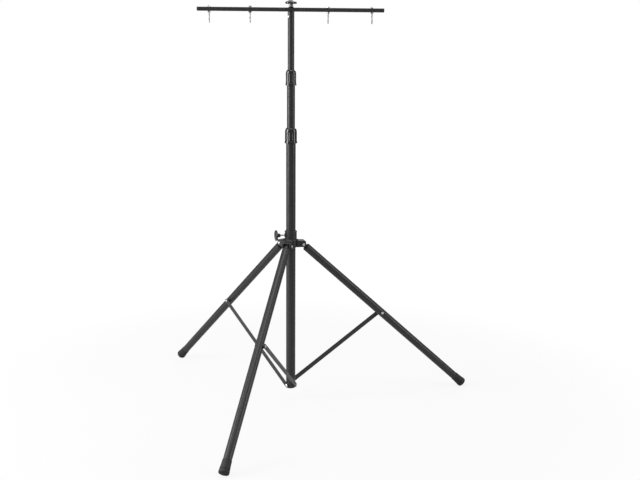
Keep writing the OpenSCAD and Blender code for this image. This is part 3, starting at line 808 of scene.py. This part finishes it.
z0, z1, _, r1 = along("top_knob_stud")
p = points("top_knob_stud")
rad = np.hypot(p[:, 0], p[:, 1])
boss = p[rad > 6]
b0, b1 = boss[:, 2].min(), boss[:, 2].max()
n = 72
rings = [[[0, 0, z0]], circle(3.0, z0, n), circle(3.4, z0 + 0.8, n)]
rings += thread_rings(4.0, 0.7, 1.25, z0 + 0.9, bar_bottom - 3, n, 7, 0.0, 1.0)
rings += [circle(4.0, b0 - 0.02, n), circle(4.0, z1 - 0.5, n), circle(3.5, z1, n), [[0, 0, z1]]]
piece("top_knob_stud_threaded", loft(rings), "top_clamp_knob", "zinc_steel", ["top_knob_stud"], sharp=40)
boss = [(4.03, b0 + 0.4), (4.4, b0), (r1 - 1.2, b0), (r1 - 0.9, b0 + 0.15), (r1, b0 + 1.2), (r1, b0 + 4.6), (r1 - 0.6, b0 + 5.0), (r1 - 0.6, b0 + 6.2), (r1, b0 + 6.6),
        (r1, b1 - 0.8), (r1 - 0.6, b1), (4.4, b1), (4.03, b1 - 0.4)]
piece("top_knob_boss_turned", lathe(boss, 96), "top_clamp_knob", "black_oxide", ["top_knob_stud"], sharp=34)

z0, z1, _, r1 = along("top_knob")
h = z1 - z0
rim = 7.4
prof = [(0, 7), (4.02, 7), (4.02, 0.3), (4.3, 0.0), (8.6, 0.0), (9.0, 0.3), (9.2, 2.2), (9.8, 2.8), (16.2, 2.8, 1.6), (16.8, 2.2, 1.7), (17.0, 0.3, 1.8), (17.3, 0.0, 1.9)]
prof += wheel_profile(r1, rim, h, dip=1.3)
prof += [(r1 - 6.5, rim + 2.1, 0.9), (13.4, rim + 3.1, 0.5), (11.4, rim + 4.2, 0.2), (9.9, h - 0.65), (9.0, h - 0.15), (8.2, h), (7.5, h), (7.04, h - 0.4), (7.04, 10.0), (0, 10.0)]
at = np.eye(4)
at[2, 3] = z0
piece("top_knob_lobed", lobed(prof, 8, phase=1.9), "top_clamp_knob", "gloss_black", ["top_knob"], at, sharp=44)

z0, z1, _, r1 = along("top_knob_cap")
prof = [(0, z0), (r1 - 0.3, z0), (r1, z0 + 0.3), (r1, z1 - 2.3), (r1 - 0.35, z1 - 1.75), (r1 - 1.1, z1 - 1.15), (r1 - 2.3, z1 - 0.62), (r1 - 3.8, z1 - 0.22), (1.6, z1 - 0.03), (0, z1)]
piece("top_knob_cap_domed", lathe(prof, 72, loop=False), "top_clamp_knob", "grey_plastic", ["top_knob_cap"])

# ---------------------------------------------------------------------------
# Hub casting, its pins and clamp knob
# ---------------------------------------------------------------------------
pz = LEGS[1]["pivot"][2]
pr = float(np.linalg.norm(LEGS[1]["pivot"][:2]))
hz0, hz1, bore, _ = along("hub_casting")
ck = JOINTS["clamp_knob_turn"]
knob_dir = unit(ck["axis"])
knob_z = ck["pos_m"][2] * 1000
knob_o = np.array([0, 0, knob_z])


def prism(outline, y0, y1):
    """Closed prism along local y of an (x, z) outline."""
    n = len(outline)
    a = [(p[0], y0, p[1]) for p in outline]
    b = [(p[0], y1, p[1]) for p in outline]
    faces = [(k, (k + 1) % n, n + (k + 1) % n, n + k) for k in range(n)]
    faces += [tuple(range(n)), tuple(range(n, 2 * n))]
    return a + b, faces


sr = tube_r + 5
sleeve = rounded([(bore - 0.06, hz0), (sr + 0.9, hz0, 1.0), (sr + 1.5, hz0 + 1.8, 0.8), (sr + 1.5, pz + 17.5, 1.5), (sr, pz + 21, 1.5), (sr, hz1 - 5.2, 0.6),
                  (sr + 0.9, hz1 - 4.4, 0.6), (sr + 0.9, hz1 - 1.4, 0.8), (sr - 0.4, hz1, 0.8), (bore - 0.06, hz1)], 4)
hub = temp("hub", lathe(sleeve, 128))
blocks, slots = [], []
for i in (1, 2, 3):
    L = LEGS[i]
    m = place(np.array([0, 0, 0.0]), L["out"], L["side"])
    x1, r = pr, 10.2
    eye = [(x1 + r * math.sin(a), pz - r * math.cos(a)) for a in np.radians(np.arange(0, 91, 10))]
    body_out = rounded([(tube_r + 2, pz - r)] + eye + [(x1 + r, pz + 14.9, 5.5), (x1 - 8, pz + 15.8, 8), (tube_r + 2, pz + 17.8)], 6)
    blocks.append(moved(prism(body_out, -19.6, 19.6), m))
    # web that carries the cheeks into the sleeve
    web = [(tube_r + 2, pz + 23), (tube_r + 5.6, pz + 22), (tube_r + 12, pz + 16.4), (tube_r + 2, pz + 13)]
    blocks.append(moved(prism(web, -13.0, 13.0), m))
    slots.append(moved(prism([(x1 - 12, pz + 11.5), (x1 + 60, pz + 11.5), (x1 + 60, pz - 70), (x1 - 12, pz - 70)], -12, 12), m))
    # shallow pockets in the cheeks, and the flat faces the pin heads sit on
    for s in (-1, 1):
        slots.append(moved(prism(rounded([(tube_r + 9.5, pz + 12.5, 1.5), (pr - 9, pz + 11, 1.5), (pr - 9, pz - 6.5, 1.5), (tube_r + 9.5, pz - 6.5, 1.5)], 3),
                                 s * 18.4 if s > 0 else -25, 25 if s > 0 else -18.4), m))
boss_m = place_z(knob_o, knob_dir, Z)
blocks.append(moved(lathe([(0, tube_r + 1.5), (8.6, tube_r + 1.5), (8.2, tube_r + 4.5), (7.5, tube_r + 7.2), (0, tube_r + 7.2)], 48, loop=False), boss_m))
core = lathe([(0, hz0 - 5), (bore, hz0 - 5), (bore, hz1 + 5), (0, hz1 + 5)], 128, loop=False)
screw_hole = moved(lathe([(0, 5), (3.2, 5), (3.2, tube_r + 20), (0, tube_r + 20)], 40, loop=False), boss_m)
_, pad_end, _, pad_r = along("hub_clamp_pad", knob_o, knob_dir)
pad_hole = moved(lathe([(0, 5), (pad_r + 0.9, 5), (pad_r + 0.9, pad_end + 2.2), (0, pad_end + 2.2)], 40, loop=False), boss_m)
carve(hub, add=blocks, cut=slots + [core, screw_hole, pad_hole])
molded(hub, 0.75, 4, 0.5)
co = coords(hub)
rad = np.hypot(co[:, 0], co[:, 1])
near = (rad < bore + 0.9) & (co[:, 2] > hz0 + 1.5) & (co[:, 2] < hz1 - 1.5)
f = np.where(near, (bore + 0.02) / np.maximum(rad, 1e-6), 1.0)
co[:, 0] *= f
co[:, 1] *= f
# keep the slot faces flat and clear of the leg tongues
for i in (1, 2, 3):
    L = LEGS[i]
    side = co @ L["side"]
    outw = co @ L["out"]
    face = (np.abs(np.abs(side) - 12) < 0.7) & (outw > pr - 10.5) & (outw < pr + 30)
    push = np.where(face, np.sign(side) * 12.05 - side, 0.0)
    co += np.outer(push, L["side"])
# a little unevenness, as sand-cast and painted metal has
rng = np.random.default_rng(7)
wave = np.sin(co @ np.array([0.55, 0.31, 0.47]) + 1.3) * np.sin(co @ np.array([-0.37, 0.62, 0.28]) + 0.4)
norm = np.empty(len(hub.data.vertices) * 3)
set_coords(hub, co)
hub.data.vertices.foreach_get("normal", norm)
norm = norm.reshape(-1, 3)
rad = np.hypot(co[:, 0], co[:, 1])
free = (rad > bore + 1.2)
co += norm * (wave * 0.05 * free)[:, None]
set_coords(hub, co)
finish_piece(hub, "hub_casting_rounded", "hub", "matte_black", ["hub_casting"], sharp=0, weighted=False)

for i in (1, 2, 3):
    L = LEGS[i]
    m = place_z(L["pivot"], L["side"], Z)
    s0, s1, r1 = range_on("leg_pivot_pins", L["pivot"], L["side"], 7.0)
    piece(f"leg_pivot_pin_{i}", pin_shape(4.0, s0, s1, [(s0 + 3.0, -1, r1, 3.0, 1.5), (s1 - 3.0, 1, r1, 3.0, 1.5)]), "hub", "zinc_steel", ["leg_pivot_pins"], m)

s0, s1, _ = range_on("hub_knob", knob_o, knob_dir)
_, _, _, wr = along("hub_knob", knob_o, knob_dir)
p = points("hub_knob") - knob_o
p = p[np.linalg.norm(p - np.outer(p @ knob_dir, knob_dir), axis=1) > 15]
wheel0 = float((p @ knob_dir).min())
boss0 = s0 - wheel0
rim = s1 - wheel0 - 3.0
hole = 54.0 - wheel0
prof = [(0, hole), (3.02, hole), (3.02, boss0 + 0.4), (3.4, boss0), (6.9, boss0), (7.5, boss0 + 0.5), (7.8, boss0 + 2.2), (8.0, boss0 + 6.0), (8.3, -3.6), (8.8, -1.8),
        (9.9, -0.5), (11.4, -0.05, 0.2), (12.8, 0.0, 0.5)]
prof += wheel_profile(wr, rim, rim + 3, dip=2.1)
prof += [(wr - 6.5, rim + 1.85, 1.0), (13.0, rim + 2.25, 0.6), (10.6, rim + 2.5, 0.2), (9.9, rim + 2.2), (9.2, rim + 2.15), (8.6, rim + 2.55), (7.0, rim + 2.85),
         (4.0, rim + 2.98), (0, rim + 3.0)]
piece("hub_knob_lobed", lobed(prof, 7, phase=0.6), "clamp_knob", "gloss_black", ["hub_knob"], place_z(knob_o + knob_dir * wheel0, knob_dir, Z), sharp=44)

s0, s1, _ = range_on("hub_knob_screw", knob_o, knob_dir)
n = 40
rings = [[[0, 0, s0]], circle(1.9, s0, n), circle(2.3, s0 + 0.6, n)]
rings += thread_rings(3.0, 0.6, 1.0, s0 + 0.8, s1 - 0.6, n, 8, 0.0, 1.0)
rings += [circle(2.7, s1, n), [[0, 0, s1]]]
piece("hub_knob_screw_threaded", loft(rings), "clamp_knob", "zinc_steel", ["hub_knob_screw"], place_z(knob_o, knob_dir, Z), sharp=50)

# ---------------------------------------------------------------------------
# Legs and braces
# ---------------------------------------------------------------------------
ground = min(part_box(f"leg_foot_{i}")[0].z for i in (1, 2, 3)) * 1000
plug_mesh = None
for i in (1, 2, 3):
    L = LEGS[i]
    leg_axis = place_z(L["pivot"], L["down"], L["side"])
    s0, s1, r0, r1 = along(f"leg_tube_{i}", L["pivot"], L["down"])
    p = points(f"leg_tube_{i}") - L["pivot"]
    s = p @ L["down"]
    r = np.linalg.norm(p - np.outer(s, L["down"]), axis=1)
    end = s > s1 - 0.5
    r0, r1 = r[end].min(), r[end].max()
    piece(f"leg_tube_{i}_coated", lathe(tube_profile(s0, s1, r0, r1, 0.4), 128), f"leg_{i}", "powder_black", [f"leg_tube_{i}"], leg_axis)

    # plug with its tongue: local x down the leg, y along the pivot pin
    if plug_mesh is None:
        ls = s0
        q = rounded([(7.4 * math.cos(a), 7.4 * math.sin(a)) for a in np.linspace(math.pi / 2, 3 * math.pi / 2, 25)] + [(ls - 0.8, -10.0), (ls - 0.8, 10.0)], 2)
        tongue = prism(q, -6.2, 6.2)
        eye = moved(lathe(rounded([(0, -11.75), (5.6, -11.75, 0.5), (5.6, 11.75, 0.5), (0, 11.75)], 3, loop=False), 64, loop=False), place_z(O, Y, X))
        zx = place_z(O, X, Y)
        turned = moved(lathe(rounded([(0, ls - 2.4), (r1 - 0.1, ls - 2.4, 0.7), (r1 - 0.1, ls - 0.03, 0.25), (r0 - 0.02, ls - 0.03, 0.1), (r0 - 0.02, ls + 38.5, 0.6),
                                      (r0 - 1.0, ls + 39.5, 0.4), (r0 - 4, ls + 39.5, 0.4), (r0 - 4, ls + 9, 0.8), (0, ls + 9)], 3, loop=False), 96, loop=False), zx)
        # ribs between the tongue and the flange
        ribs = [prism([(ls - 9.0, s_ * 7.5), (ls - 1.8, s_ * 7.5), (ls - 1.8, s_ * 11.8), (ls - 3.4, s_ * 11.4)], -2.2, 2.2) for s_ in (-1, 1)]
        hole = moved(lathe([(0, -20), (4.06, -20), (4.06, 20), (0, 20)], 64, loop=False), place_z(O, Y, X))
        plug = temp("plug", turned)
        carve(plug, add=[tongue, eye] + ribs, cut=[hole])
        molded(plug, 0.5, 3)
        co = coords(plug)
        rr = np.hypot(co[:, 0], co[:, 2])
        near = (rr < 4.7) & (np.abs(co[:, 1]) < 11.2)
        f = np.where(near, 4.07 / np.maximum(rr, 1e-6), 1.0)
        co[:, 0] *= f
        co[:, 2] *= f
        rr = np.hypot(co[:, 1], co[:, 2])
        near = (co[:, 0] > ls + 0.6) & (co[:, 0] < ls + 38) & (rr > r0 - 1)
        f = np.where(near, (r0 - 0.03) / np.maximum(rr, 1e-6), 1.0)
        co[:, 1] *= f
        co[:, 2] *= f
        set_coords(plug, co)
        plug_mesh = plug.data.copy()
        bpy.data.objects.remove(plug)
    o = bpy.data.objects.new(f"leg_plug_{i}_moulded", plug_mesh.copy())
    bpy.context.scene.collection.objects.link(o)
    transform(o, L["leg"])
    finish_piece(o, f"leg_plug_{i}_moulded", f"leg_{i}", "matte_black", [f"leg_plug_{i}"], sharp=0, weighted=False)

    # rubber foot, flattened where it stands
    f0, f1, _, fr = along(f"leg_foot_{i}", L["pivot"], L["down"])
    R, e = r1, s1
    foot_s = e + 4.5
    prof = [(R + 0.03, e + 0.02), (R + 0.03, f0 + 0.5), (R + 0.3, f0 + 0.1), (R + 0.9, f0), (R + 1.35, f0 + 0.35), (R + 1.5, f0 + 1.0), (R + 1.5, f0 + 3.0), (R + 1.35, f0 + 3.6),
            (R + 0.95, f0 + 4.1), (R + 0.95, f0 + 5.0), (R + 1.25, f0 + 5.6)]
    for k in range(15):
        t = k / 14
        prof.append((R + 1.3 + 1.75 * t ** 1.6, f0 + 6.5 + (e - 7.2 - f0 - 6.5) * t))
    prof += [(R + 2.75, e - 6.5), (R + 2.15, e - 5.9), (R + 2.1, e - 4.9), (R + 2.75, e - 4.3), (R + 3.25, e - 3.4), (R + 3.55, e - 1.5)]
    for k in range(13):
        a = math.radians(92 * k / 12)
        prof.append((fr - 5 + 5 * math.cos(a), foot_s + 5 * math.sin(a)))
    prof += [(fr - 8, foot_s + 5.35), (fr - 8.6, foot_s + 4.5), (fr - 9.6, foot_s + 4.4), (fr - 10.3, foot_s + 5.7), (4, foot_s + 6.2), (0, foot_s + 6.3)]
    prof = [(0, e + 0.02)] + prof
    shape = moved(lathe(prof, 112, loop=False), leg_axis)
    v = np.array(shape[0])
    below = v[:, 2] < ground + 0.25
    t = np.clip((ground + 0.25 - v[:, 2]) / 0.5, 0, 1)
    v[:, 2] = np.where(below, np.maximum(v[:, 2], ground + 0.25 * (1 - t) ** 2), v[:, 2])
    v[:, 2] = np.maximum(v[:, 2], ground)
    piece(f"leg_foot_{i}_rubber", (v.tolist(), shape[1]), f"leg_{i}", "rubber_black", [f"leg_foot_{i}"], sharp=50, weighted=False)

    # spacer between leg and strap, saddled on the tube
    sp = along(f"brace_spacer_{i}", L["pivot"], L["side"])
    q = points(f"brace_bolt_{i}") - L["pivot"]
    qs = q @ L["down"]
    bolt_s = (qs.min() + qs.max()) / 2
    sy = sp[1]
    bolt_o = L["pivot"] + L["down"] * bolt_s
    sm = place_z(bolt_o, L["side"], L["down"])
    spacer = temp("spacer", moved(lathe(rounded([(3.05, 9.5), (9.5, 9.5), (9.5, sy - 1.2, 0.6), (8.6, sy, 0.5), (3.05, sy, 0.3)], 3), 72), sm))
    carve(spacer, cut=[moved(lathe([(0, bolt_s - 25), (r1 + 0.03, bolt_s - 25), (r1 + 0.03, bolt_s + 25), (0, bolt_s + 25)], 128, loop=False), leg_axis)])
    finish_piece(spacer, f"brace_spacer_{i}_saddled", f"leg_{i}", "matte_black", [f"brace_spacer_{i}"], sharp=32)

    s0, s1b, _ = range_on(f"brace_bolt_{i}", bolt_o, L["side"])
    _, _, _, hr = along(f"brace_bolt_{i}", bolt_o, L["side"])
    piece(f"brace_bolt_{i}_domed", pin_shape(3.0, s0, s1b, [(s0 + 3.2, -1, hr, 3.2, 1.3)]), f"leg_{i}", "zinc_steel", [f"brace_bolt_{i}"], sm)

    # flat strap: rounded ends, softened edges, and holes for its bolt and rivet
    y0, y1, _, _ = along(f"brace_strap_{i}", L["base"], L["side"])
    bl = L["brace_len"]
    _, hi_s = 0, 0
    pts = (points(f"brace_strap_{i}") - L["base"]) @ L["brace"][:3, 2]
    half = float(np.abs(pts).max())

    def stadium(inset, bl=bl, half=half, n=20):
        r = half - inset
        a = [(r * math.cos(t), r * math.sin(t)) for t in np.linspace(math.pi / 2, 3 * math.pi / 2, n)]
        b = [(bl + r * math.cos(t), r * math.sin(t)) for t in np.linspace(-math.pi / 2, math.pi / 2, n)]
        return a + b

    v, fc = plate(stadium, y0, y1, 0.55, 3)
    v = [(x, z, y) for x, y, z in v]
    strap = temp("strap", moved((v, fc), L["brace"]))
    cuts = []
    for x, r in ((0.0, 3.06), (bl, 3.03)):
        cuts.append(moved(moved(lathe([(0, y0 - 5), (r, y0 - 5), (r, y1 + 5), (0, y1 + 5)], 48, loop=False), place_z(np.array([x, 0, 0]), Y, X)), L["brace"]))
    carve(strap, cut=cuts)
    finish_piece(strap, f"brace_strap_{i}_pressed", f"brace_{i}", "powder_black", [f"brace_strap_{i}"], sharp=40)

    rivet_o = L["base"] + (L["brace"][:3, 0] * bl)
    rm = place_z(rivet_o, L["side"], Z)
    s0, s1r, _ = range_on(f"brace_rivet_{i}", rivet_o, L["side"])
    _, _, _, hr = along(f"brace_rivet_{i}", rivet_o, L["side"])
    piece(f"brace_rivet_{i}_domed", pin_shape(3.0, s0, s1r, [(s1r - 3.2, 1, hr, 3.2, 1.3)]), f"brace_{i}", "zinc_steel", [f"brace_rivet_{i}"], rm)

# CAD nodes that stay as they are: only their materials and shading change
for node, slot in (("lower_lock_collet", "nylon"), ("upper_lock_collet", "nylon"), ("hub_clamp_pad", "nylon")):
    o = frame["nodes"][node]
    o.data.materials.clear()
    o.data.materials.append(MATERIALS[slot])
    b = o.modifiers.new("edges", "BEVEL")
    b.width, b.segments, b.limit_method, b.angle_limit = 0.0002, 2, "ANGLE", math.radians(40)

# ---------------------------------------------------------------------------
# Stage, light and camera
# ---------------------------------------------------------------------------
scene = bpy.context.scene
scene.view_settings.view_transform = "Standard"
scene.view_settings.look = "None"
scene.view_settings.exposure = 0.0

floor_mesh = bpy.data.meshes.new("floor")
R = 14.0
g = ground * 0.001
bm = bmesh.new()
bmesh.ops.create_grid(bm, x_segments=4, y_segments=4, size=R)
bmesh.ops.translate(bm, verts=bm.verts, vec=(0, 4.0, g))
bm.to_mesh(floor_mesh)
bm.free()
floor = bpy.data.objects.new("floor", floor_mesh)
scene.collection.objects.link(floor)
fm = bpy.data.materials.new("floor")
fm.use_nodes = True
nt = fm.node_tree
pb = nt.nodes["Principled BSDF"]
pb.inputs["Roughness"].default_value = 0.9
pb.inputs["Specular IOR Level"].default_value = 0.1
noise = nt.nodes.new("ShaderNodeTexNoise")
noise.inputs["Scale"].default_value = 1.3
ramp = nt.nodes.new("ShaderNodeMapRange")
ramp.inputs["To Min"].default_value, ramp.inputs["To Max"].default_value = 0.62, 0.66
nt.links.new(noise.outputs["Fac"], ramp.inputs["Value"])
comb = nt.nodes.new("ShaderNodeCombineColor")
for k in range(3):
    nt.links.new(ramp.outputs["Result"], comb.inputs[k])
nt.links.new(comb.outputs["Color"], pb.inputs["Base Color"])
back = nt.nodes.new("ShaderNodeNewGeometry").outputs["Backfacing"]
clear = nt.nodes.new("ShaderNodeBsdfTransparent")
# to the camera the floor is lifted towards white, and fades into the white background with distance
where = nt.nodes.new("ShaderNodeNewGeometry").outputs["Position"]
away = nt.nodes.new("ShaderNodeVectorMath")
away.operation = "LENGTH"
nt.links.new(where, away.inputs[0])
fade = nt.nodes.new("ShaderNodeMapRange")
fade.interpolation_type = "SMOOTHSTEP"
fade.inputs["From Min"].default_value, fade.inputs["From Max"].default_value = 0.9, 2.2
fade.inputs["To Min"].default_value, fade.inputs["To Max"].default_value = 0.84, 1.0
nt.links.new(away.outputs["Value"], fade.inputs["Value"])
seen = nt.nodes.new("ShaderNodeMath")
seen.operation = "MULTIPLY"
nt.links.new(fade.outputs["Result"], seen.inputs[0])
nt.links.new(nt.nodes.new("ShaderNodeLightPath").outputs["Is Camera Ray"], seen.inputs[1])
glow = nt.nodes.new("ShaderNodeEmission")
glow.inputs["Color"].default_value = (1, 1, 1, 1)
glow.inputs["Strength"].default_value = 1.03
lifted = nt.nodes.new("ShaderNodeMixShader")
nt.links.new(seen.outputs[0], lifted.inputs[0])
nt.links.new(pb.outputs[0], lifted.inputs[1])
nt.links.new(glow.outputs[0], lifted.inputs[2])
mixer = nt.nodes.new("ShaderNodeMixShader")
nt.links.new(back, mixer.inputs[0])
nt.links.new(lifted.outputs[0], mixer.inputs[1])
nt.links.new(clear.outputs[0], mixer.inputs[2])
nt.links.new(mixer.outputs[0], nt.nodes["Material Output"].inputs["Surface"])
floor_mesh.materials.append(fm)

world = bpy.data.worlds.new("studio")
scene.world = world
world.use_nodes = True
wt = world.node_tree
bg = wt.nodes["Background"]
bg.inputs["Color"].default_value = (1, 1, 1, 1)
path = wt.nodes.new("ShaderNodeLightPath")
lvl = wt.nodes.new("ShaderNodeMapRange")
lvl.inputs["To Min"].default_value, lvl.inputs["To Max"].default_value = 0.24, 1.0
wt.links.new(path.outputs["Is Camera Ray"], lvl.inputs["Value"])
wt.links.new(lvl.outputs["Result"], bg.inputs["Strength"])


def area(name, at, to, size, power, size_y=None):
    d = bpy.data.lights.new(name, "AREA")
    d.shape = "RECTANGLE"
    d.size, d.size_y = size, size_y or size
    d.energy = power
    o = bpy.data.objects.new(name, d)
    scene.collection.objects.link(o)
    o.location = at
    o.rotation_mode = "QUATERNION"
    o.rotation_quaternion = (Vector(to) - Vector(at)).to_track_quat("-Z", "Y")
    o.visible_camera = False
    return o


area("key_left", (-3.1, -1.0, 1.7), (0, 0, 0.8), 1.5, 108, 2.8)
area("fill_right", (3.0, -0.8, 1.6), (0, 0, 0.7), 0.9, 24, 2.4)
area("top", (0.0, -0.5, 4.2), (0, 0, 0.6), 3.0, 64, 3.0)
area("back", (0.8, 3.4, 2.8), (0, 0, 0.8), 2.2, 34, 1.8)

cam_data = bpy.data.cameras.new("camera")
cam = bpy.data.objects.new("camera", cam_data)
scene.collection.objects.link(cam)
cam_data.sensor_fit = "HORIZONTAL"
cam_data.sensor_width = 36.0
cam_data.lens = 951.8 * 36.0 / 640.0
cam.rotation_mode = "QUATERNION"
look = Matrix.Rotation(math.radians(90 - 11.377), 4, "X") @ Matrix.Rotation(math.radians(0.414), 4, "Z")
cam.rotation_quaternion = look.to_quaternion()
cam.location = (0.1175, -3.757, 1.3799)
cam_data.clip_start, cam_data.clip_end = 0.05, 60.0
scene.camera = cam
